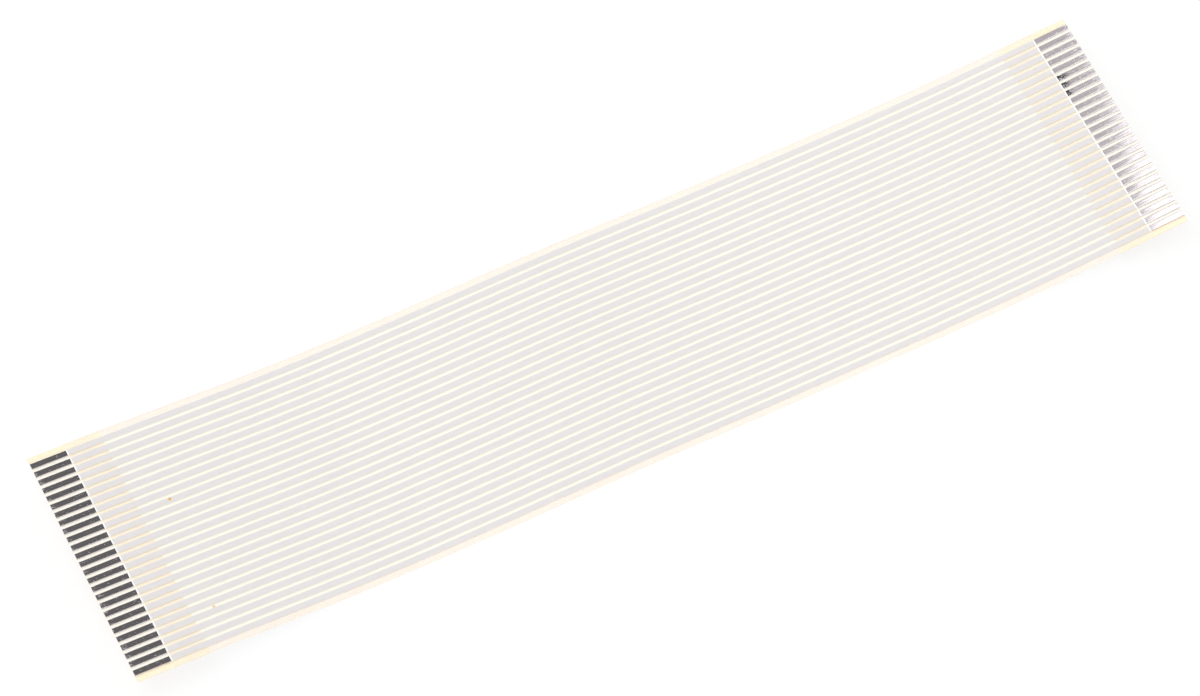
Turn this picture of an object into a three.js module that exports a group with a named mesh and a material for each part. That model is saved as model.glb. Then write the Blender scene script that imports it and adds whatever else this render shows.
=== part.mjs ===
// Flat flex cable: flat tinned copper conductors laminated between two polyester films. Both ends
// are bared on the upper side and backed by a stiffener, so that each can be pushed into a socket.
// It lies on a flat surface with its ends curling up, as such a cable does when it is laid down.
// Millimetres. +X runs along the cable, +Y across it and +Z up. The origin is on the surface that
// the cable lies on, under the middle of its length and width.
import * as THREE from "three";

// The laminate
const WAYS = 26;
const PITCH = 1.25;
const EDGE_MARGIN = 1.25; // from the outer conductor's centre line to the edge of the films
const CABLE_LENGTH = 152.4;
const CONDUCTOR_WIDTH = 0.8;
const CONDUCTOR_THICKNESS = 0.1;
const BASE_FILM_THICKNESS = 0.08; // under a conductor
const COVER_FILM_THICKNESS = 0.08; // over a conductor
const RIB_HEIGHT = 0.03; // the cover film stands this much higher over a conductor than beside it

// The ends
const BARED_LENGTH = 5; // the cover film stops this far from each end
const STIFFENER_LENGTH = 10;
const STIFFENER_THICKNESS = 0.12;

// How it lies: two flat stretches touch the surface, the middle arches a little between them, and
// the ends rise outside them
const TOUCHING_LENGTH = 8;
const LEFT_TOUCHING_DISTANCE = 30; // from the cable's middle to the middle of the flat stretch
const RIGHT_TOUCHING_DISTANCE = 24;
const ARCH_RISE = 0.45;
const LEFT_END_LIFT = 3.4;
const RIGHT_END_LIFT = 2.9;
const LEFT_END_SLOPE = 4.8; // degrees, over the stiffened length
const RIGHT_END_SLOPE = 6.7;
const LONGEST_FACET = 12;

// Heights in the laminate, above the underside of the base film
const conductorBottom = BASE_FILM_THICKNESS;
const conductorTop = conductorBottom + CONDUCTOR_THICKNESS;
const filmJoint = (conductorBottom + conductorTop) / 2; // the films meet between the conductors
const ribTop = conductorTop + COVER_FILM_THICKNESS;
const ribFoot = ribTop - RIB_HEIGHT;

const cableWidth = (WAYS - 1) * PITCH + 2 * EDGE_MARGIN;
const leftEnd = -CABLE_LENGTH / 2;
const rightEnd = CABLE_LENGTH / 2;

const metal = new THREE.MeshStandardMaterial({ color: 0xb4b2b3, roughness: 0.3, metalness: 0.9 });
const film = new THREE.MeshStandardMaterial({
  color: 0xfbf8f0,
  roughness: 0.35,
  metalness: 0,
  transparent: true,
  opacity: 0.5,
});
const backing = new THREE.MeshStandardMaterial({ color: 0xfff0d6, roughness: 0.5, metalness: 0 });

// The two ends, each measured outwards from the cable's middle
const leftSweep = endSweep(LEFT_TOUCHING_DISTANCE, LEFT_END_LIFT, LEFT_END_SLOPE);
const rightSweep = endSweep(RIGHT_TOUCHING_DISTANCE, RIGHT_END_LIFT, RIGHT_END_SLOPE);

// One end of the cable in side view: the curve from its flat stretch to its stiffener, which
// stays straight.
function endSweep(touchingDistance, lift, slope) {
  const start = touchingDistance + TOUCHING_LENGTH / 2;
  const end = CABLE_LENGTH / 2 - STIFFENER_LENGTH;
  const reach = end - start;
  const gradient = Math.tan(THREE.MathUtils.degToRad(slope));
  const rise = lift - STIFFENER_LENGTH * gradient;
  const curve = new THREE.CubicBezierCurve(
    new THREE.Vector2(start, 0),
    new THREE.Vector2(start + reach / 3, 0),
    new THREE.Vector2(end - reach / 3, rise - (gradient * reach) / 3),
    new THREE.Vector2(end, rise),
  );
  return { start, end, rise, gradient, curve, inner: touchingDistance - TOUCHING_LENGTH / 2 };
}

// Height above the surface of the cable's underside, at a distance along it from its middle.
function heightAt(along) {
  const sweep = along < 0 ? leftSweep : rightSweep;
  const distance = Math.abs(along);
  if (distance >= sweep.end) return sweep.rise + (distance - sweep.end) * sweep.gradient;
  if (distance > sweep.start) {
    const share = (distance - sweep.start) / (sweep.end - sweep.start);
    return sweep.curve.getPoint(share).y;
  }
  if (distance >= sweep.inner) return 0;
  const archShare = (along + leftSweep.inner) / (leftSweep.inner + rightSweep.inner);
  return (ARCH_RISE * (1 - Math.cos(2 * Math.PI * archShare))) / 2;
}

// Distances along the cable at which it has an edge between two flat facets.
function facetEdges() {
  const marks = [
    leftEnd,
    leftEnd + BARED_LENGTH,
    -leftSweep.end,
    -leftSweep.start,
    -leftSweep.inner,
    rightSweep.inner,
    rightSweep.start,
    rightSweep.end,
    rightEnd - BARED_LENGTH,
    rightEnd,
  ].sort((a, b) => a - b);
  const edges = [marks[0]];
  for (const mark of marks) {
    const from = edges[edges.length - 1];
    const count = Math.ceil((mark - from) / LONGEST_FACET);
    for (let i = 1; i <= count; i++) edges.push(from + ((mark - from) * i) / count);
  }
  return edges;
}

// The cable's side view as a chain of straight facets, each as long as its stretch of cable. Each
// station has its point on the underside and the direction in which the laminate's thickness is
// measured there, halfway between its two facets.
function layOut(edges) {
  const points = [new THREE.Vector2(0, heightAt(edges[0]))];
  for (let i = 1; i < edges.length; i++) {
    const climb = heightAt(edges[i]) - heightAt(edges[i - 1]);
    const facet = edges[i] - edges[i - 1];
    const forward = Math.sqrt(facet * facet - climb * climb);
    points.push(new THREE.Vector2(points[i - 1].x + forward, heightAt(edges[i])));
  }
  const middle = points[points.length - 1].x / 2;
  for (const point of points) point.x -= middle;
  return points.map((point, i) => {
    const before = points[Math.max(i - 1, 0)];
    const after = points[Math.min(i + 1, points.length - 1)];
    const into = point.clone().sub(before).normalize();
    const out = after.clone().sub(point).normalize();
    const run = into.add(out).normalize();
    return { point, up: new THREE.Vector2(-run.y, run.x) };
  });
}

const edges = facetEdges();
const stations = layOut(edges);

function stationAt(along) {
  return edges.findIndex((edge) => Math.abs(edge - along) < 1e-9);
}

// A section drawn in (across, height above the underside), carried along the cable from one
// distance to another. It is extruded by one unit for each facet and then laid on the stations.
function alongCable(section, from, to) {
  const first = stationAt(from);
  const facets = stationAt(to) - first;
  const geometry = new THREE.ExtrudeGeometry(section, {
    depth: facets,
    steps: facets,
    bevelEnabled: false,
  });
  const position = geometry.getAttribute("position");
  for (let i = 0; i < position.count; i++) {
    const station = stations[first + Math.round(position.getZ(i))];
    const across = position.getX(i);
    const height = position.getY(i);
    position.setXYZ(
      i,
      station.point.x + station.up.x * height,
      across,
      station.point.y + station.up.y * height,
    );
  }
  geometry.computeVertexNormals();
  return geometry;
}

function conductorCentre(number) {
  return (number - (WAYS - 1) / 2) * PITCH;
}

function rectangle(width, bottom, top) {
  return new THREE.Shape([
    new THREE.Vector2(-width / 2, bottom),
    new THREE.Vector2(width / 2, bottom),
    new THREE.Vector2(width / 2, top),
    new THREE.Vector2(-width / 2, top),
  ]);
}

// Draws a film's inner face from its near edge to its far edge: the joint with the other film, with
// a channel for each conductor.
function drawChannels(section, channelFloor) {
  section.lineTo(-cableWidth / 2, filmJoint);
  for (let number = 0; number < WAYS; number++) {
    const near = conductorCentre(number) - CONDUCTOR_WIDTH / 2;
    const far = conductorCentre(number) + CONDUCTOR_WIDTH / 2;
    section.lineTo(near, filmJoint);
    section.lineTo(near, channelFloor);
    section.lineTo(far, channelFloor);
    section.lineTo(far, filmJoint);
  }
  section.lineTo(cableWidth / 2, filmJoint);
}

// Draws the cover film's outer face from its far edge to its near edge: a rib over each conductor,
// with its sides sloping down into the hollow between two conductors.
function drawRibs(section) {
  const slope = (PITCH - CONDUCTOR_WIDTH) / 4;
  section.lineTo(cableWidth / 2, ribFoot);
  for (let number = WAYS - 1; number >= 0; number--) {
    const near = conductorCentre(number) - CONDUCTOR_WIDTH / 2;
    const far = conductorCentre(number) + CONDUCTOR_WIDTH / 2;
    section.lineTo(far + slope, ribFoot);
    section.lineTo(far, ribTop);
    section.lineTo(near, ribTop);
    section.lineTo(near - slope, ribFoot);
  }
}

function baseFilmSection() {
  const section = new THREE.Shape();
  section.moveTo(cableWidth / 2, 0);
  section.lineTo(-cableWidth / 2, 0);
  drawChannels(section, conductorBottom);
  section.closePath();
  return section;
}

function coverFilmSection() {
  const section = new THREE.Shape();
  section.moveTo(-cableWidth / 2, ribFoot);
  drawChannels(section, conductorTop);
  drawRibs(section);
  section.closePath();
  return section;
}

function piece(name, geometry, material) {
  const mesh = new THREE.Mesh(geometry, material);
  mesh.name = name;
  return mesh;
}

function makeFilms() {
  const base = alongCable(baseFilmSection(), leftEnd, rightEnd);
  const cover = alongCable(coverFilmSection(), leftEnd + BARED_LENGTH, rightEnd - BARED_LENGTH);
  const films = new THREE.Group();
  films.add(piece("base_film", base, film), piece("cover_film", cover, film));
  return films;
}

function makeConductors() {
  const section = rectangle(CONDUCTOR_WIDTH, conductorBottom, conductorTop);
  const geometry = alongCable(section, leftEnd, rightEnd);
  const conductors = new THREE.Group();
  for (let number = 0; number < WAYS; number++) {
    const name = "conductor_" + String(number + 1).padStart(2, "0");
    const conductor = piece(name, geometry, metal);
    conductor.position.y = conductorCentre(number);
    conductors.add(conductor);
  }
  return conductors;
}

function makeStiffeners() {
  const section = rectangle(cableWidth, -STIFFENER_THICKNESS, 0);
  const left = alongCable(section, leftEnd, leftEnd + STIFFENER_LENGTH);
  const right = alongCable(section, rightEnd - STIFFENER_LENGTH, rightEnd);
  const stiffeners = new THREE.Group();
  stiffeners.add(piece("left_stiffener", left, backing), piece("right_stiffener", right, backing));
  return stiffeners;
}

const cable = new THREE.Group();
cable.add(makeFilms(), makeConductors(), makeStiffeners());

export default cable;
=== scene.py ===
import math

import bmesh
import bpy
from mathutils import Matrix, Vector


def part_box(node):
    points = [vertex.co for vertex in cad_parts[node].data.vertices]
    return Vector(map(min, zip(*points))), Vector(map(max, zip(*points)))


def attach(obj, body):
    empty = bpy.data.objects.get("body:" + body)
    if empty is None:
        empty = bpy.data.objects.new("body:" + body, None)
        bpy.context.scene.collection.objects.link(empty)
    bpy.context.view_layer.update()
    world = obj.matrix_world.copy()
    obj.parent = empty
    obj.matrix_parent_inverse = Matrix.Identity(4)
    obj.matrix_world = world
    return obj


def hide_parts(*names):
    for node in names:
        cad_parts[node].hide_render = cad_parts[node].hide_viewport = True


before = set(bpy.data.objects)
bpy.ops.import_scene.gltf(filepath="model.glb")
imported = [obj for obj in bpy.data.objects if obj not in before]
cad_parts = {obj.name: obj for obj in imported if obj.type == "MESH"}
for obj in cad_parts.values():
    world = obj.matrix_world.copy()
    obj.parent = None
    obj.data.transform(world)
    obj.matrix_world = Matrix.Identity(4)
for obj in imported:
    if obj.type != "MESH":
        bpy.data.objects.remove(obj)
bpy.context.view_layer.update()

bl_info = {
    "name": "Flat Flex Cable",
    "version": (1, 0, 0),
    "blender": (4, 5, 0),
    "location": "View3D > Sidebar > Flex Cable",
    "description": "Laminates a flat flex cable on its packed solids and sets its stage",
    "category": "Add Mesh",
}

BODY = "root"
MM = 0.001
FLOOR_DROP = 0.02 * MM  # keeps the floor off the faces that rest on it
CARD_HEIGHT = 0.25
CONDUCTORS = sorted(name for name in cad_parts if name.startswith("conductor_"))
# Width of the painted highlight along the cover film's cut edge, where the edge catches the light
CUT_HIGHLIGHT_WIDTH = 0.16 * MM  # pale line along the cover film's cut

# Specks of dirt: along the cable and across it from its middle, and radius, in millimetres
DIRT = ((-62.0, 4.5, 0.2), (-63.2, -11.3, 0.2))

# Contacts with a dark patch beside the cover film: number, and reach of the patch in millimetres
TARNISHED = ((19, 0.9), (20, 1.2), (21, 1.6))


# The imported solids, read as a laminate on a curved line


def edge_stations(node):
    """The points of a solid's near edge, as one list for each station along the cable.

    The stations run from the left end to the right end, and the points in each from low to high.
    """
    corners = {tuple(round(c, 8) for c in v.co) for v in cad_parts[node].data.vertices}
    near = min(corner[1] for corner in corners)
    points = sorted((Vector(c) for c in corners if c[1] - near < 0.01 * MM), key=lambda p: p.x)
    stations = [[points[0]]]
    for point in points[1:]:
        if point.x - stations[-1][-1].x > 1 * MM:
            stations.append([])
        stations[-1].append(point)
    return [sorted(station, key=lambda p: p.z) for station in stations]


class CableLine:
    """The side view of the cable: a smooth line through the stations of the base film."""

    def __init__(self, stations):
        self.points = [(s[0].x, s[0].z) for s in stations]
        self.marks = [0.0]
        facets = []
        for (x, z), (next_x, next_z) in zip(self.points, self.points[1:]):
            self.marks.append(self.marks[-1] + math.hypot(next_x - x, next_z - z))
            facets.append((next_z - z) / (next_x - x))
        middle = self.marks[-1] / 2
        self.marks = [mark - middle for mark in self.marks]
        self.slopes = [facets[0]]
        for before, after in zip(facets, facets[1:]):
            turns_back = before * after <= 0
            self.slopes.append(0 if turns_back else 2 * before * after / (before + after))
        self.slopes.append(facets[-1])

    def at(self, along):
        """The point on the underside at a distance from the cable's middle, and its upward normal.

        Between two stations the height follows a cubic that never swings past either of them.
        """
        i = max(0, min(len(self.marks) - 2, sum(mark <= along for mark in self.marks) - 1))
        (x, z), (next_x, next_z) = self.points[i:i + 2]
        t = (along - self.marks[i]) / (self.marks[i + 1] - self.marks[i])
        reach = next_x - x
        leave, arrive = (slope * reach for slope in self.slopes[i:i + 2])
        height = (
            z * (2 * t**3 - 3 * t**2 + 1)
            + leave * (t**3 - 2 * t**2 + t)
            + next_z * (3 * t**2 - 2 * t**3)
            + arrive * (t**3 - t**2)
        )
        climb = (
            (next_z - z) * (6 * t - 6 * t**2)
            + leave * (3 * t**2 - 4 * t + 1)
            + arrive * (3 * t**2 - 2 * t)
        )
        return Vector((x + reach * t, 0, height)), Vector((-climb, 0, reach)).normalized()

    def mark_at(self, x):
        """How far along the cable its station nearest to a place on the X axis is."""
        nearest = min(range(len(self.points)), key=lambda i: abs(self.points[i][0] - x))
        return self.marks[nearest]

    def reach(self, node):
        """How far along the cable a solid starts and ends."""
        low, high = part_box(node)
        return self.mark_at(low.x), self.mark_at(high.x)

    def lay(self, bm):
        """Lays a mesh that was modelled straight, in (along, across, height), on the line."""
        places = {}
        for vert in bm.verts:
            along, across, height = vert.co
            key = round(along, 8)
            if key not in places:
                places[key] = self.at(along)
            point, up = places[key]
            vert.co = point + up * height
            vert.co.y = across


LINE = CableLine(edge_stations("base_film"))


def flat_heights(node):
    """The lowest and highest height of a solid's near edge in the laminate.

    They are read at the station that lies flat on the ground.
    """
    station = min(edge_stations(node), key=lambda s: s[0].z)
    return station[0].z, station[-1].z


def conductor_centre(node):
    low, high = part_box(node)
    return (low.y + high.y) / 2


def width_of(node):
    low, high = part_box(node)
    return high.y - low.y


def outermost(sizes):
    """How far the conductors reach from the cable's middle along the Y axis."""
    return max(conductor_centre(node) for node in CONDUCTORS) + sizes.conductor_width / 2


def rib_top():
    """The greatest height of the cover film in the laminate, read where it lies flat."""
    flat_x = min(edge_stations("cover_film"), key=lambda s: s[0].z)[0].x
    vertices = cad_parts["cover_film"].data.vertices
    return max(v.co.z for v in vertices if abs(v.co.x - flat_x) < 0.1 * MM)


def stiffener_thickness():
    bottom, top = edge_stations("left_stiffener")[0]
    return (top - bottom).length


def length_property(name, description, default):
    return bpy.props.FloatProperty(
        name=name, description=description, default=default, min=0, unit="LENGTH", precision=6
    )


def colour_property(name, description, default):
    return bpy.props.FloatVectorProperty(
        name=name, description=description, default=default, size=4, min=0, max=1,
        subtype="COLOR",
    )


class LaminateSizes(bpy.types.PropertyGroup):
    """Sizes of the laminate"""

    film_width: length_property(
        "Film Width", "Width of the films and the stiffeners", width_of("base_film")
    )
    conductor_width: length_property(
        "Conductor Width", "Width of a conductor", width_of(CONDUCTORS[0])
    )
    conductor_bottom: length_property(
        "Conductor Bottom", "Height of a conductor's underside", flat_heights(CONDUCTORS[0])[0]
    )
    conductor_top: length_property(
        "Conductor Top", "Height of a conductor's upper side", flat_heights(CONDUCTORS[0])[1]
    )
    film_joint: length_property(
        "Film Joint", "Height at which the films meet", flat_heights("base_film")[1]
    )
    rib_foot: length_property(
        "Rib Foot", "Height of the cover film between two ribs", flat_heights("cover_film")[1]
    )
    rib_top: length_property("Rib Top", "Height of the cover film over a conductor", rib_top())
    stiffener_thickness: length_property(
        "Stiffener Thickness", "Thickness of a stiffener", stiffener_thickness()
    )
    edge_rounding: length_property(
        "Edge Rounding", "Rounding of a film's long edges", 0.02 * MM
    )
    rib_rounding: length_property("Rib Rounding", "Rounding of a rib's corners", 0.05 * MM)
    conductor_rounding: length_property(
        "Conductor Rounding", "Rounding of a conductor's rolled edges", 0.045 * MM
    )
    bond_line: length_property(
        "Bond Line", "Thickness of the bond between two layers", 0.003 * MM
    )
    longest_step: length_property(
        "Longest Step", "Longest stretch between two sections along the cable", 2.5 * MM
    )


class CableFinish(bpy.types.PropertyGroup):
    """Colours of the laminate"""

    rib_haze: colour_property(
        "Rib Haze", "Cover film over a conductor", (0.885, 0.865, 0.86, 1)
    )
    rib_end_haze: colour_property(
        "Rib End Haze", "Cover film over a conductor, where a stiffener backs it",
        (0.865, 0.825, 0.825, 1),
    )
    gap_haze: colour_property(
        "Gap Haze", "Cover film between two conductors", (0.95, 0.92, 0.77, 1)
    )
    margin_haze: colour_property(
        "Margin Haze", "Cover film beside the outer conductors", (0.93, 0.79, 0.69, 1)
    )
    gap_end_haze: colour_property(
        "Gap End Haze", "Cover film between two conductors, where a stiffener backs it",
        (0.93, 0.79, 0.59, 1),
    )
    base_tint: colour_property(
        "Base Tint", "Base film where it is covered", (0.97, 0.93, 0.78, 1)
    )
    # Painted sheen: the base film made whiter between the bare contacts, where its surface shines
    bare_base_sheen: colour_property(
        "Bare Base Tint", "Base film between the bare contacts", (1.0, 1.0, 0.97, 1)
    )
    bare_margin_tint: colour_property(
        "Bare Margin Tint", "Base film beside the outer bare contacts", (1.0, 0.86, 0.62, 1)
    )
    edge_tint: colour_property(
        "Edge Tint", "Adhesive that shows at the long edges", (1.0, 0.84, 0.62, 1)
    )
    stiffener_tint: colour_property(
        "Stiffener Tint", "Tint of the stiffeners", (0.98, 0.85, 0.66, 1)
    )
    tin: colour_property("Tin", "Plating of the bare contacts", (0.77, 0.715, 0.735, 1))
    covered_tin: colour_property(
        "Covered Tin", "Plating as it shows through the film", (0.55, 0.53, 0.52, 1)
    )
    # Painted highlight: the near-white colour of the band along the cover film's cut edge, on the
    # film and on the conductors under it
    cut_highlight: colour_property(
        "Cut Edge", "Adhesive that scatters light at the cover film's cut", (0.97, 0.97, 0.96, 1)
    )
    dirt: colour_property("Dirt", "Specks of dirt on the cover film", (0.80, 0.42, 0.02, 1))
    tarnish: colour_property("Tarnish", "Dark patches on a few contacts", (0.02, 0.02, 0.02, 1))
    cover_haze_share: bpy.props.FloatProperty(
        name="Cover Haze Share", description="How much of what is under it the cover film hides",
        default=0.55, min=0, max=1, subtype="FACTOR",
    )
    base_haze_share: bpy.props.FloatProperty(
        name="Base Haze Share", description="How much of what is under it the base film hides",
        default=0.6, min=0, max=1, subtype="FACTOR",
    )


class StageSettings(bpy.types.PropertyGroup):
    """Camera and light"""

    elevation: bpy.props.FloatProperty(
        name="Elevation", description="How far the camera looks down",
        default=math.radians(63.812), subtype="ANGLE",
    )
    azimuth: bpy.props.FloatProperty(
        name="Azimuth", description="Turn of the camera round the cable",
        default=math.radians(33.97), subtype="ANGLE",
    )
    roll: bpy.props.FloatProperty(
        name="Roll", description="Turn of the camera about its line of sight",
        default=math.radians(7.705), subtype="ANGLE",
    )
    distance: length_property("Distance", "From the camera to the cable's middle", 617.25 * MM)
    side_step: length_property("Side Step", "How far the camera aims past the middle", 2.314 * MM)
    lens: bpy.props.FloatProperty(
        name="Lens", description="Focal length in millimetres", default=142.19, min=1
    )
    sky: bpy.props.FloatProperty(
        name="Sky", description="Level of the soft light from all round", default=0.88, min=0
    )
    softbox_power: bpy.props.FloatProperty(
        name="Softbox Power", description="Power of the large lamp", default=3.9, min=0,
        subtype="POWER",
    )


# Modelling


def steps_between(start, end, longest):
    """Evenly spaced places along the cable, with one at every end of a film or stiffener."""
    marks = {start, end}
    for node in ("base_film", "cover_film", "left_stiffener", "right_stiffener"):
        marks.update(mark for mark in LINE.reach(node) if start < mark < end)
    marks = sorted(marks)
    steps = [start]
    for a, b in zip(marks, marks[1:]):
        count = math.ceil((b - a) / longest - 1e-6)
        steps += [a + (b - a) * i / count for i in range(1, count + 1)]
    return steps


def draw_section(bm, outline, along):
    """A face across the cable from its outline in (across, height)."""
    return bm.faces.new([bm.verts.new((along, across, height)) for across, height in outline])


def round_corners(bm, corners, width):
    bmesh.ops.bevel(
        bm, geom=corners, offset=width, offset_type="OFFSET", segments=3, profile=0.5,
        affect="VERTICES", material=-1,
    )


def carry_along(bm, steps):
    """Carries the only face of a mesh along the cable, as a closed body."""
    (face,) = bm.faces
    for here, there in zip(steps, steps[1:]):
        grown = bmesh.ops.extrude_face_region(bm, geom=[face])["geom"]
        if here > steps[0]:
            bmesh.ops.delete(bm, geom=[face], context="FACES_ONLY")
        (face,) = (g for g in grown if isinstance(g, bmesh.types.BMFace))
        verts = [g for g in grown if isinstance(g, bmesh.types.BMVert)]
        bmesh.ops.translate(bm, verts=verts, vec=(there - here, 0, 0))


def make_piece(name, bm, material, slot, *nodes):
    """Lays a straight mesh on the cable's line and makes it a piece that stands for its solids."""
    LINE.lay(bm)
    bmesh.ops.recalc_face_normals(bm, faces=bm.faces)
    bmesh.ops.triangulate(bm, faces=[f for f in bm.faces if len(f.verts) > 4])
    mesh = bpy.data.meshes.new(name)
    bm.to_mesh(mesh)
    bm.free()
    mesh.shade_smooth()
    mesh.set_sharp_from_angle(angle=math.radians(40))
    mesh.materials.append(material)
    piece = bpy.data.objects.new(name, mesh)
    bpy.context.scene.collection.objects.link(piece)
    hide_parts(*nodes)
    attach(piece, BODY)
    return piece


def channel_outline(sizes, joint, floor):
    """A film's inner face from its near edge to its far edge, with a channel for each conductor."""
    half = sizes.film_width / 2
    channel = sizes.conductor_width + 2 * sizes.bond_line
    outline = [(-half, joint)]
    for node in CONDUCTORS:
        near = conductor_centre(node) - channel / 2
        far = conductor_centre(node) + channel / 2
        outline += [(near, joint), (near, floor), (far, floor), (far, joint)]
    return outline + [(half, joint)]


def rib_outline(sizes, foot, top):
    """A film's outer face from its far edge to its near edge, with a rib for each conductor."""
    half = sizes.film_width / 2
    pitch = conductor_centre(CONDUCTORS[1]) - conductor_centre(CONDUCTORS[0])
    slope = (pitch - sizes.conductor_width) / 4
    outline = [(half, foot)]
    for node in reversed(CONDUCTORS):
        near = conductor_centre(node) - sizes.conductor_width / 2
        far = conductor_centre(node) + sizes.conductor_width / 2
        outline += [(far + slope, foot), (far, top), (near, top), (near - slope, foot)]
    return outline + [(-half, foot)]


def wire_outline(sizes, centre):
    """A conductor's outline: its underside from near to far, and its upper side back again.

    Each side has two more points, which keep its flat middle out of the shading of its edges.
    """
    edge = sizes.conductor_width / 2
    flat = edge - (sizes.conductor_top - sizes.conductor_bottom)
    sides = [(-edge, -flat, flat, edge), (edge, flat, -flat, -edge)]
    heights = (sizes.conductor_bottom, sizes.conductor_top)
    return [(centre + y, height) for side, height in zip(sides, heights) for y in side]


def pass_light(piece):
    """A film's haze scatters light and takes almost none, so it leaves what is under it lit."""
    piece.visible_diffuse = False
    piece.visible_shadow = False


def film_mesh(sizes, node, inner, outer):
    """A film as a closed body: its inner and outer face, with the corners of the outer rounded."""
    start, end = LINE.reach(node)
    bm = bmesh.new()
    section = draw_section(bm, inner + outer, start)
    corners = list(section.verts)[len(inner):]
    round_corners(bm, corners[1:-1], sizes.rib_rounding)
    round_corners(bm, (corners[0], corners[-1]), sizes.edge_rounding)
    carry_along(bm, steps_between(start, end, sizes.longest_step))
    return bm


# Materials


class Finish:
    """A material with one Principled shader, and short ways to feed it."""

    def __init__(self, name):
        self.material = bpy.data.materials.new(name)
        self.material.use_nodes = True
        self.tree = self.material.node_tree
        self.shader = self.tree.nodes["Principled BSDF"]
        self.place = self.add("ShaderNodeTexCoord").outputs["Object"]

    def add(self, kind, **settings):
        node = self.tree.nodes.new(kind)
        for key, value in settings.items():
            setattr(node, key, value)
        return node

    def link(self, source, target):
        self.tree.links.new(source, target)

    def feed(self, name, source):
        self.link(source, self.shader.inputs[name])

    def stretched(self, scale):
        """The place on the piece in millimetres, stretched by a scale for each axis."""
        mapping = self.add("ShaderNodeMapping")
        mapping.inputs["Scale"].default_value = [s / MM for s in scale]
        self.link(self.place, mapping.inputs["Vector"])
        return mapping.outputs["Vector"]

    def noise(self, scale, detail, roughness=0.5):
        """A noise between 0 and 1, with so many patches in a millimetre along each axis."""
        node = self.add("ShaderNodeTexNoise")
        node.inputs["Scale"].default_value = 1
        node.inputs["Detail"].default_value = detail
        node.inputs["Roughness"].default_value = roughness
        self.link(self.stretched(scale), node.inputs["Vector"])
        return node.outputs["Fac"]

    def ramp(self, source, low, high, to_low=0.0, to_high=1.0):
        """A value taken from one range to another, and kept inside it."""
        node = self.add("ShaderNodeMapRange", clamp=True)
        for name, value in zip(("From Min", "From Max", "To Min", "To Max"),
                               (low, high, to_low, to_high)):
            node.inputs[name].default_value = value
        self.link(source, node.inputs["Value"])
        return node.outputs["Result"]

    def math(self, operation, first, second):
        node = self.add("ShaderNodeMath", operation=operation)
        for socket, value in zip(node.inputs, (first, second)):
            if isinstance(value, (int, float)):
                socket.default_value = value
            else:
                self.link(value, socket)
        return node.outputs["Value"]

    def mix(self, share, first, second, blend="MIX"):
        """Two colours, each a plain one or a socket, mixed by a share."""
        node = self.add("ShaderNodeMix", data_type="RGBA", blend_type=blend)
        sockets = {socket.identifier: socket for socket in node.inputs}
        values = {"Factor_Float": share, "A_Color": first, "B_Color": second}
        for identifier, value in values.items():
            if isinstance(value, bpy.types.NodeSocket):
                self.link(value, sockets[identifier])
            else:
                sockets[identifier].default_value = value
        return next(socket for socket in node.outputs if socket.identifier == "Result_Color")

    def bump(self, height, distance, strength=1.0):
        """Bump from a height between 0 and 1, as deep as a distance in metres."""
        node = self.add("ShaderNodeBump")
        node.inputs["Strength"].default_value = strength
        node.inputs["Distance"].default_value = distance
        self.link(height, node.inputs["Height"])
        self.feed("Normal", node.outputs["Normal"])

    def from_middle(self, axis):
        """The distance from the cable's middle, either way, along its X or Y axis."""
        split = self.add("ShaderNodeSeparateXYZ")
        self.link(self.place, split.inputs["Vector"])
        return self.math("ABSOLUTE", split.outputs[axis], 0.0)

    def beyond(self, axis, distance, blur):
        """0 nearer to the cable's middle than a distance, and 1 farther out."""
        return self.ramp(self.from_middle(axis), distance - blur / 2, distance + blur / 2)

    def between_conductors(self, sizes):
        """0 over a conductor, and 1 between two and in the margins.

        The cable's middle is halfway between two conductors.
        """
        centres = [conductor_centre(node) for node in CONDUCTORS]
        half_pitch = (centres[1] - centres[0]) / 2
        half_width = sizes.conductor_width / 2
        blur = 0.04 * MM
        from_first = self.math("SUBTRACT", self.from_middle("Y"), half_pitch)
        from_centre = self.math("PINGPONG", from_first, half_pitch)
        gaps = self.ramp(from_centre, half_width, half_width + blur)
        margins = self.beyond("Y", outermost(sizes), blur)
        return self.math("MAXIMUM", gaps, margins)

    def spot(self, centre, size, blur):
        """1 inside an ellipsoid with such half axes, fading to 0 outside it."""
        mapping = self.add("ShaderNodeMapping", vector_type="TEXTURE")
        mapping.inputs["Location"].default_value = centre
        mapping.inputs["Scale"].default_value = size
        self.link(self.place, mapping.inputs["Vector"])
        length = self.add("ShaderNodeVectorMath", operation="LENGTH")
        self.link(mapping.outputs["Vector"], length.inputs[0])
        return self.ramp(length.outputs["Value"], 1 - blur, 1 + blur, 1.0, 0.0)


def on_cable(along, across, height):
    """A place on the cable, with its distances from the middle in millimetres."""
    point, up = LINE.at(along * MM)
    return point + up * height + Vector((0, across * MM, 0))


def film_finish(name, haze_share):
    """Polyester film: clear with a milky haze, glossy, with faint lengthwise drawing lines."""
    finish = Finish(name)
    lines = finish.noise((0.05, 4, 4), detail=2)
    finish.feed("Roughness", finish.ramp(lines, 0.3, 0.7, 0.26, 0.34))
    finish.shader.inputs["IOR"].default_value = 1.57
    # A ray meets the film's two faces, and together they hide the share
    finish.shader.inputs["Alpha"].default_value = 1 - math.sqrt(1 - haze_share)
    finish.bump(lines, 0.001 * MM, 0.5)
    return finish


def clouded(finish, colour, depth):
    """A colour with faint cloudy patches that are darker by a share."""
    cloud = finish.noise((0.3, 0.3, 0.3), detail=5)
    shade = finish.mix(finish.ramp(cloud, 0.35, 0.7), (1 - depth,) * 3 + (1,), (1, 1, 1, 1))
    return finish.mix(1.0, colour, shade, "MULTIPLY")


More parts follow.
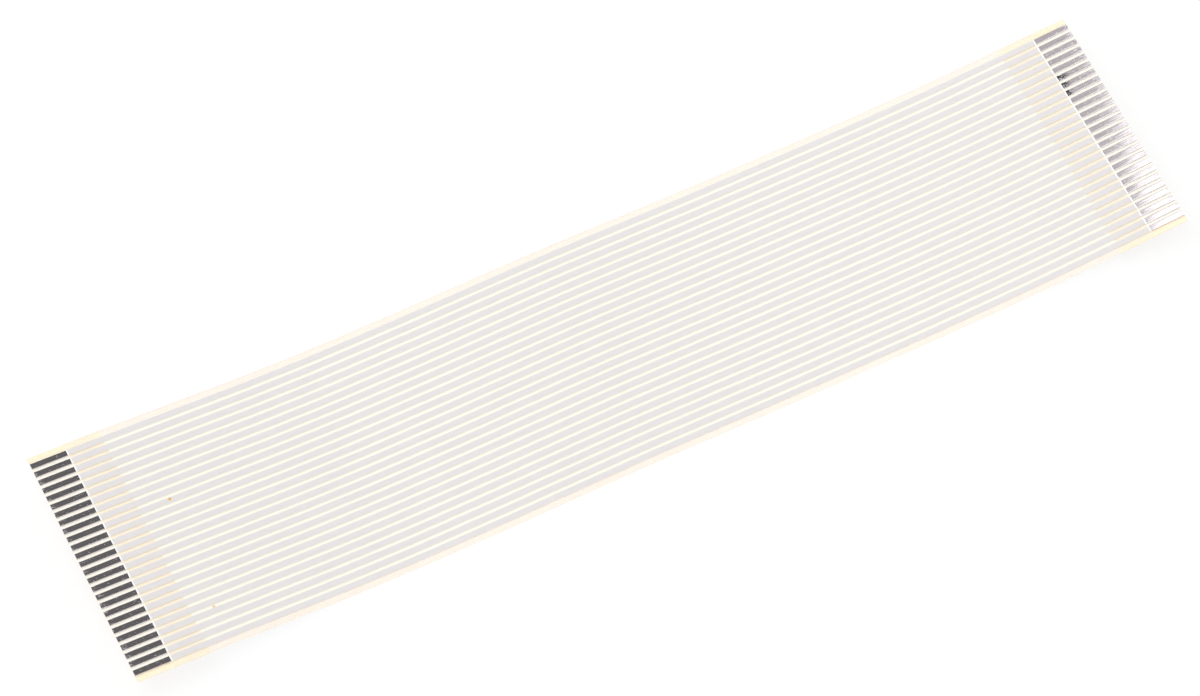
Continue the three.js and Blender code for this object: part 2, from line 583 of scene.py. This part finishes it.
def specked(finish, colour, colours, sizes):
    """A colour with the specks of dirt, which also show on what is close under the film."""
    for along, across, radius in DIRT:
        place = on_cable(along, across, sizes.conductor_top)
        speck = finish.spot(place, (radius * MM,) * 3, blur=0.3)
        colour = finish.mix(speck, colour, colours.dirt)
    return colour


def cover_finish(colours, sizes):
    """The cover film: neutral over the conductors, warm between them and warmer at the ends."""
    finish = film_finish("cover_film_haze", colours.cover_haze_share)
    backed = min(-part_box("left_stiffener")[1].x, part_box("right_stiffener")[0].x)
    near_end = finish.beyond("X", backed, blur=24 * MM)
    over_stiffener = finish.beyond("X", backed, blur=0.2 * MM)
    gaps = finish.between_conductors(sizes)
    margins = finish.beyond("Y", outermost(sizes), blur=0.04 * MM)
    rib = finish.mix(near_end, colours.rib_haze, colours.rib_end_haze)
    middle = finish.mix(gaps, rib, colours.gap_haze)
    middle = finish.mix(margins, middle, colours.margin_haze)
    ends = finish.mix(gaps, rib, colours.gap_end_haze)
    colour = clouded(finish, finish.mix(over_stiffener, middle, ends), 0.012)
    # Painted highlight: a near-white band along the cover film's cut edge, where it catches the
    # light
    cut = finish.beyond("X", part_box("cover_film")[1].x - CUT_HIGHLIGHT_WIDTH, blur=0.05 * MM)
    cut = finish.math("MULTIPLY", cut, finish.math("SUBTRACT", 1.0, margins))
    colour = finish.mix(cut, colour, (1, 1, 1, 1))
    finish.feed("Base Color", specked(finish, colour, colours, sizes))
    return finish


def base_finish(colours, sizes):
    """The base film: warm where it is covered, and whitened by a painted sheen between the bare
    contacts.
    """
    finish = film_finish("base_film_haze", colours.base_haze_share)
    margins = finish.beyond("Y", outermost(sizes), blur=0.04 * MM)
    bared = finish.beyond("X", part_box("cover_film")[1].x, blur=0.05 * MM)
    edge = finish.beyond("Y", sizes.film_width / 2 - 0.1 * MM, blur=0.05 * MM)
    covered_tint = clouded(finish, colours.base_tint, 0.015)
    # Painted sheen between the bare contacts, and the real warm tint of the margins beside them
    bared_tint_and_sheen = finish.mix(margins, colours.bare_base_sheen, colours.bare_margin_tint)
    colour = finish.mix(bared, covered_tint, bared_tint_and_sheen)
    finish.feed("Base Color", finish.mix(edge, colour, colours.edge_tint))
    return finish


def tarnished(finish, colour, colours, sizes, flecks):
    """A colour with the ragged dark patches beside the cut of the cover film."""
    for number, reach in TARNISHED:
        centre = conductor_centre("conductor_%02d" % number) / MM
        place = on_cable(LINE.reach("cover_film")[1] / MM, centre, sizes.conductor_top)
        patch = finish.spot(place, (reach * MM, 0.5 * MM, 0.3 * MM), blur=0.35)
        ragged = finish.math("MULTIPLY", patch, finish.ramp(flecks, 0.62, 0.45))
        colour = finish.mix(ragged, colour, colours.tarnish)
    return colour


def conductor_finish(colours, sizes):
    """Flat tinned copper: bright with a lengthwise grain where bare, and pale where covered."""
    finish = Finish("tinned_copper")
    cover_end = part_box("cover_film")[1].x
    bare = finish.beyond("X", cover_end, blur=0.04 * MM)
    # Mask of the painted highlight along the cover film's cut edge, over the conductors under it
    cut = finish.beyond("X", cover_end - CUT_HIGHLIGHT_WIDTH, blur=0.05 * MM)
    tips = finish.beyond("X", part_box("base_film")[1].x - 0.7 * MM, blur=1.2 * MM)
    grain = finish.noise((0.35, 4.5, 3), detail=1.5)
    flecks = finish.noise((1.8, 5, 3), detail=4, roughness=0.75)
    scuffed = finish.math("MULTIPLY", tips, finish.ramp(flecks, 0.5, 0.62))
    dulled = finish.math("MAXIMUM", scuffed, finish.ramp(flecks, 0.58, 0.7))
    streaked = [c * 0.9 for c in colours.tin[:3]] + [1]
    tin = finish.mix(finish.ramp(grain, 0.35, 0.65), streaked, colours.tin)
    tin = tarnished(finish, tin, colours, sizes, flecks)
    # The covered plating turns near-white in the band of the painted highlight
    covered = finish.mix(cut, colours.covered_tin, colours.cut_highlight)
    covered = specked(finish, covered, colours, sizes)
    finish.feed("Base Color", finish.mix(bare, covered, tin))
    finish.feed("Metallic", finish.ramp(bare, 0, 1, 0.2, 1.0))
    bare_rough = finish.math("MULTIPLY", bare, finish.ramp(dulled, 0, 1, 0.06, 0.5))
    covered_rough = finish.ramp(bare, 0, 1, 0.55, 0.0)
    finish.feed("Roughness", finish.math("ADD", bare_rough, covered_rough))
    finish.bump(grain, 0.003 * MM)
    return finish


def stiffener_finish(colours):
    """Polyester tape: warm, a little rough, with a fine uneven surface."""
    finish = Finish("stiffener_tape")
    finish.feed("Base Color", clouded(finish, colours.stiffener_tint, 0.03))
    finish.shader.inputs["Roughness"].default_value = 0.45
    finish.bump(finish.noise((6, 6, 6), detail=2), 0.003 * MM, 0.4)
    return finish


# Operators


class FLEX_OT_base_film(bpy.types.Operator):
    """Laminate the base film, which carries the conductors over the whole length"""

    bl_idname = "flex_cable.base_film"
    bl_label = "Base Film"

    def execute(self, context):
        sizes = context.scene.flex_sizes
        colours = context.scene.flex_finish
        half = sizes.film_width / 2
        inner = channel_outline(
            sizes, sizes.film_joint - sizes.bond_line, sizes.conductor_bottom - sizes.bond_line
        )
        outer = [(half, 0), (-half, 0)]
        bm = film_mesh(sizes, "base_film", inner, outer)
        finish = base_finish(colours, sizes)
        pass_light(make_piece("base_laminate", bm, finish.material, "film", "base_film"))
        return {"FINISHED"}


class FLEX_OT_cover_film(bpy.types.Operator):
    """Laminate the cover film, cut back at both ends, with a rib over each conductor"""

    bl_idname = "flex_cable.cover_film"
    bl_label = "Cover Film"

    def execute(self, context):
        sizes = context.scene.flex_sizes
        colours = context.scene.flex_finish
        inner = channel_outline(sizes, sizes.film_joint, sizes.conductor_top + sizes.bond_line)
        outer = rib_outline(sizes, sizes.rib_foot, sizes.rib_top)
        bm = film_mesh(sizes, "cover_film", inner, outer)
        finish = cover_finish(colours, sizes)
        pass_light(make_piece("cover_laminate", bm, finish.material, "film", "cover_film"))
        return {"FINISHED"}


class FLEX_OT_conductors(bpy.types.Operator):
    """Lay the conductors, flat wire with rolled edges, side by side"""

    bl_idname = "flex_cable.conductors"
    bl_label = "Conductors"

    def execute(self, context):
        sizes = context.scene.flex_sizes
        finish = conductor_finish(context.scene.flex_finish, sizes)
        for node in CONDUCTORS:
            start, end = LINE.reach(node)
            bm = bmesh.new()
            section = draw_section(bm, wire_outline(sizes, conductor_centre(node)), start)
            points = list(section.verts)
            underside, upper_side = points[:4], points[4:]
            corners = [underside[0], underside[-1], upper_side[0], upper_side[-1]]
            round_corners(bm, corners, sizes.conductor_rounding)
            carry_along(bm, steps_between(start, end, sizes.longest_step))
            make_piece("wire_" + node[-2:], bm, finish.material, "conductor", node)
        return {"FINISHED"}


class FLEX_OT_stiffeners(bpy.types.Operator):
    """Glue a stiffener tape under each end"""

    bl_idname = "flex_cable.stiffeners"
    bl_label = "Stiffeners"

    def execute(self, context):
        sizes = context.scene.flex_sizes
        finish = stiffener_finish(context.scene.flex_finish)
        half = sizes.film_width / 2
        for node in ("left_stiffener", "right_stiffener"):
            start, end = LINE.reach(node)
            bm = bmesh.new()
            outline = [
                (-half, -sizes.stiffener_thickness),
                (half, -sizes.stiffener_thickness),
                (half, -sizes.bond_line),
                (-half, -sizes.bond_line),
            ]
            section = draw_section(bm, outline, start)
            round_corners(bm, list(section.verts)[:2], sizes.edge_rounding)
            carry_along(bm, steps_between(start, end, sizes.longest_step))
            make_piece(node.replace("stiffener", "tape"), bm, finish.material, "stiffener", node)
        return {"FINISHED"}


class FLEX_OT_stage(bpy.types.Operator):
    """Set the floor, the lamps, the white surroundings and the camera"""

    bl_idname = "flex_cable.stage"
    bl_label = "Stage"

    def execute(self, context):
        settings = context.scene.flex_stage
        make_floor()
        make_surroundings(context.scene, settings.sky)
        make_softbox(settings.softbox_power)
        make_cards()
        make_camera(context.scene, settings)
        context.scene.view_settings.view_transform = "Standard"
        return {"FINISHED"}


def seen_white(tree):
    """1 for the rays that see the background: from the camera, off gloss and through glass."""
    path = tree.nodes.new("ShaderNodeLightPath")
    seen = path.outputs["Is Camera Ray"]
    for name in ("Is Glossy Ray", "Is Transmission Ray"):
        both = tree.nodes.new("ShaderNodeMath")
        both.operation = "MAXIMUM"
        tree.links.new(seen, both.inputs[0])
        tree.links.new(path.outputs[name], both.inputs[1])
        seen = both.outputs["Value"]
    return seen


def make_floor():
    """A plain pale floor that keeps a soft shadow, though it is mostly seen as white."""
    white_share = 0.8
    bm = bmesh.new()
    bmesh.ops.create_grid(bm, x_segments=1, y_segments=1, size=2)
    mesh = bpy.data.meshes.new("floor")
    bm.to_mesh(mesh)
    bm.free()
    material = bpy.data.materials.new("pale_floor")
    material.use_nodes = True
    tree = material.node_tree
    tree.nodes.clear()
    matte = tree.nodes.new("ShaderNodeBsdfDiffuse")
    matte.inputs["Color"].default_value = (0.95, 0.95, 0.95, 1)
    white = tree.nodes.new("ShaderNodeEmission")
    white.inputs["Color"].default_value = (1, 1, 1, 1)
    share = tree.nodes.new("ShaderNodeMath")
    share.operation = "MULTIPLY"
    share.inputs[1].default_value = white_share
    mix = tree.nodes.new("ShaderNodeMixShader")
    output = tree.nodes.new("ShaderNodeOutputMaterial")
    tree.links.new(seen_white(tree), share.inputs[0])
    tree.links.new(share.outputs["Value"], mix.inputs["Fac"])
    tree.links.new(matte.outputs["BSDF"], mix.inputs[1])
    tree.links.new(white.outputs["Emission"], mix.inputs[2])
    tree.links.new(mix.outputs["Shader"], output.inputs["Surface"])
    mesh.materials.append(material)
    mesh.transform(Matrix.Translation((0, 0, -FLOOR_DROP)))
    floor = bpy.data.objects.new("floor", mesh)
    bpy.context.scene.collection.objects.link(floor)


def make_surroundings(scene, level):
    """A world that lights from all round at a level, and is seen as white."""
    world = bpy.data.worlds.new("white_surroundings")
    world.use_nodes = True
    tree = world.node_tree
    tree.nodes.clear()
    light = tree.nodes.new("ShaderNodeBackground")
    light.inputs["Strength"].default_value = level
    white = tree.nodes.new("ShaderNodeBackground")
    white.inputs["Strength"].default_value = 1
    for background in (light, white):
        background.inputs["Color"].default_value = (1, 1, 1, 1)
    mix = tree.nodes.new("ShaderNodeMixShader")
    output = tree.nodes.new("ShaderNodeOutputWorld")
    tree.links.new(seen_white(tree), mix.inputs["Fac"])
    tree.links.new(light.outputs["Background"], mix.inputs[1])
    tree.links.new(white.outputs["Background"], mix.inputs[2])
    tree.links.new(mix.outputs["Shader"], output.inputs["Surface"])
    scene.world = world


def make_softbox(power):
    """A large lamp overhead, a little to the left and behind."""
    lamp = bpy.data.lights.new("softbox", "AREA")
    lamp.energy = power
    lamp.shape = "SQUARE"
    lamp.size = 0.9
    softbox = bpy.data.objects.new("softbox", lamp)
    place = Vector((-0.35, 0.45, 0.85))
    softbox.location = place
    softbox.rotation_euler = (-place).to_track_quat("-Z", "Y").to_euler()
    bpy.context.scene.collection.objects.link(softbox)


def make_cards():
    """Cards that only gloss sees: dark over the left end, then grey, then bright.

    The slanting edge between the last two is what the right end's contacts mirror as streaks.
    """
    left, grey_from, right = -0.2, 0.06, 0.25
    near, far = 0.0, 0.25
    edge_near, edge_far = 0.0905, 0.155
    make_card("dark_card", 0.16, (left, near), (grey_from, near), (grey_from, far), (left, far))
    make_card(
        "grey_card", 0.6, (grey_from, near), (edge_near, near), (edge_far, far), (grey_from, far)
    )
    make_card("bright_card", 1.7, (edge_near, near), (right, near), (right, far), (edge_far, far))


def make_card(name, level, *corners):
    bm = bmesh.new()
    bm.faces.new([bm.verts.new((x, y, CARD_HEIGHT)) for x, y in corners])
    mesh = bpy.data.meshes.new(name)
    bm.to_mesh(mesh)
    bm.free()
    material = bpy.data.materials.new(name)
    material.use_nodes = True
    tree = material.node_tree
    tree.nodes.clear()
    glow = tree.nodes.new("ShaderNodeEmission")
    glow.inputs["Strength"].default_value = level
    output = tree.nodes.new("ShaderNodeOutputMaterial")
    tree.links.new(glow.outputs["Emission"], output.inputs["Surface"])
    mesh.materials.append(material)
    card = bpy.data.objects.new(name, mesh)
    bpy.context.scene.collection.objects.link(card)
    card.visible_camera = False
    card.visible_diffuse = False
    card.visible_transmission = False
    card.visible_shadow = False


def make_camera(scene, settings):
    """A camera at the photograph's angle, which is given by its turn, tilt and roll."""
    heading = Vector((math.sin(settings.azimuth), math.cos(settings.azimuth), 0))
    right = Vector((heading.y, -heading.x, 0))
    forward = heading * math.cos(settings.elevation) - Vector((0, 0, math.sin(settings.elevation)))
    up = heading * math.sin(settings.elevation) + Vector((0, 0, math.cos(settings.elevation)))
    turned_right = right * math.cos(settings.roll) + up * math.sin(settings.roll)
    turned_up = up * math.cos(settings.roll) - right * math.sin(settings.roll)
    place = -turned_right * settings.side_step - forward * settings.distance
    data = bpy.data.cameras.new("camera")
    data.lens = settings.lens
    data.sensor_width = 36
    data.sensor_fit = "HORIZONTAL"
    data.clip_start = 0.01
    camera = bpy.data.objects.new("camera", data)
    axes = Matrix((turned_right, turned_up, -forward)).transposed()
    camera.matrix_world = Matrix.Translation(place) @ axes.to_4x4()
    scene.collection.objects.link(camera)
    scene.camera = camera


class FLEX_PT_cable(bpy.types.Panel):
    """Flat flex cable, in the sidebar of the 3D view"""

    bl_label = "Flex Cable"
    bl_idname = "FLEX_PT_cable"
    bl_space_type = "VIEW_3D"
    bl_region_type = "UI"
    bl_category = "Flex Cable"

    def draw(self, context):
        for name in OPERATIONS:
            self.layout.operator("flex_cable." + name)
        for group in ("flex_sizes", "flex_finish", "flex_stage"):
            settings = getattr(context.scene, group)
            box = self.layout.box()
            for name in settings.__annotations__:
                box.prop(settings, name)


OPERATIONS = ("stage", "base_film", "cover_film", "conductors", "stiffeners")
CLASSES = (
    LaminateSizes,
    CableFinish,
    StageSettings,
    FLEX_OT_base_film,
    FLEX_OT_cover_film,
    FLEX_OT_conductors,
    FLEX_OT_stiffeners,
    FLEX_OT_stage,
    FLEX_PT_cable,
)


def register():
    for cls in CLASSES:
        bpy.utils.register_class(cls)
    bpy.types.Scene.flex_sizes = bpy.props.PointerProperty(type=LaminateSizes)
    bpy.types.Scene.flex_finish = bpy.props.PointerProperty(type=CableFinish)
    bpy.types.Scene.flex_stage = bpy.props.PointerProperty(type=StageSettings)


def unregister():
    del bpy.types.Scene.flex_stage
    del bpy.types.Scene.flex_finish
    del bpy.types.Scene.flex_sizes
    for cls in reversed(CLASSES):
        bpy.utils.unregister_class(cls)


def main():
    register()
    for name in OPERATIONS:
        getattr(bpy.ops.flex_cable, name)()


if __name__ == "__main__":
    main()
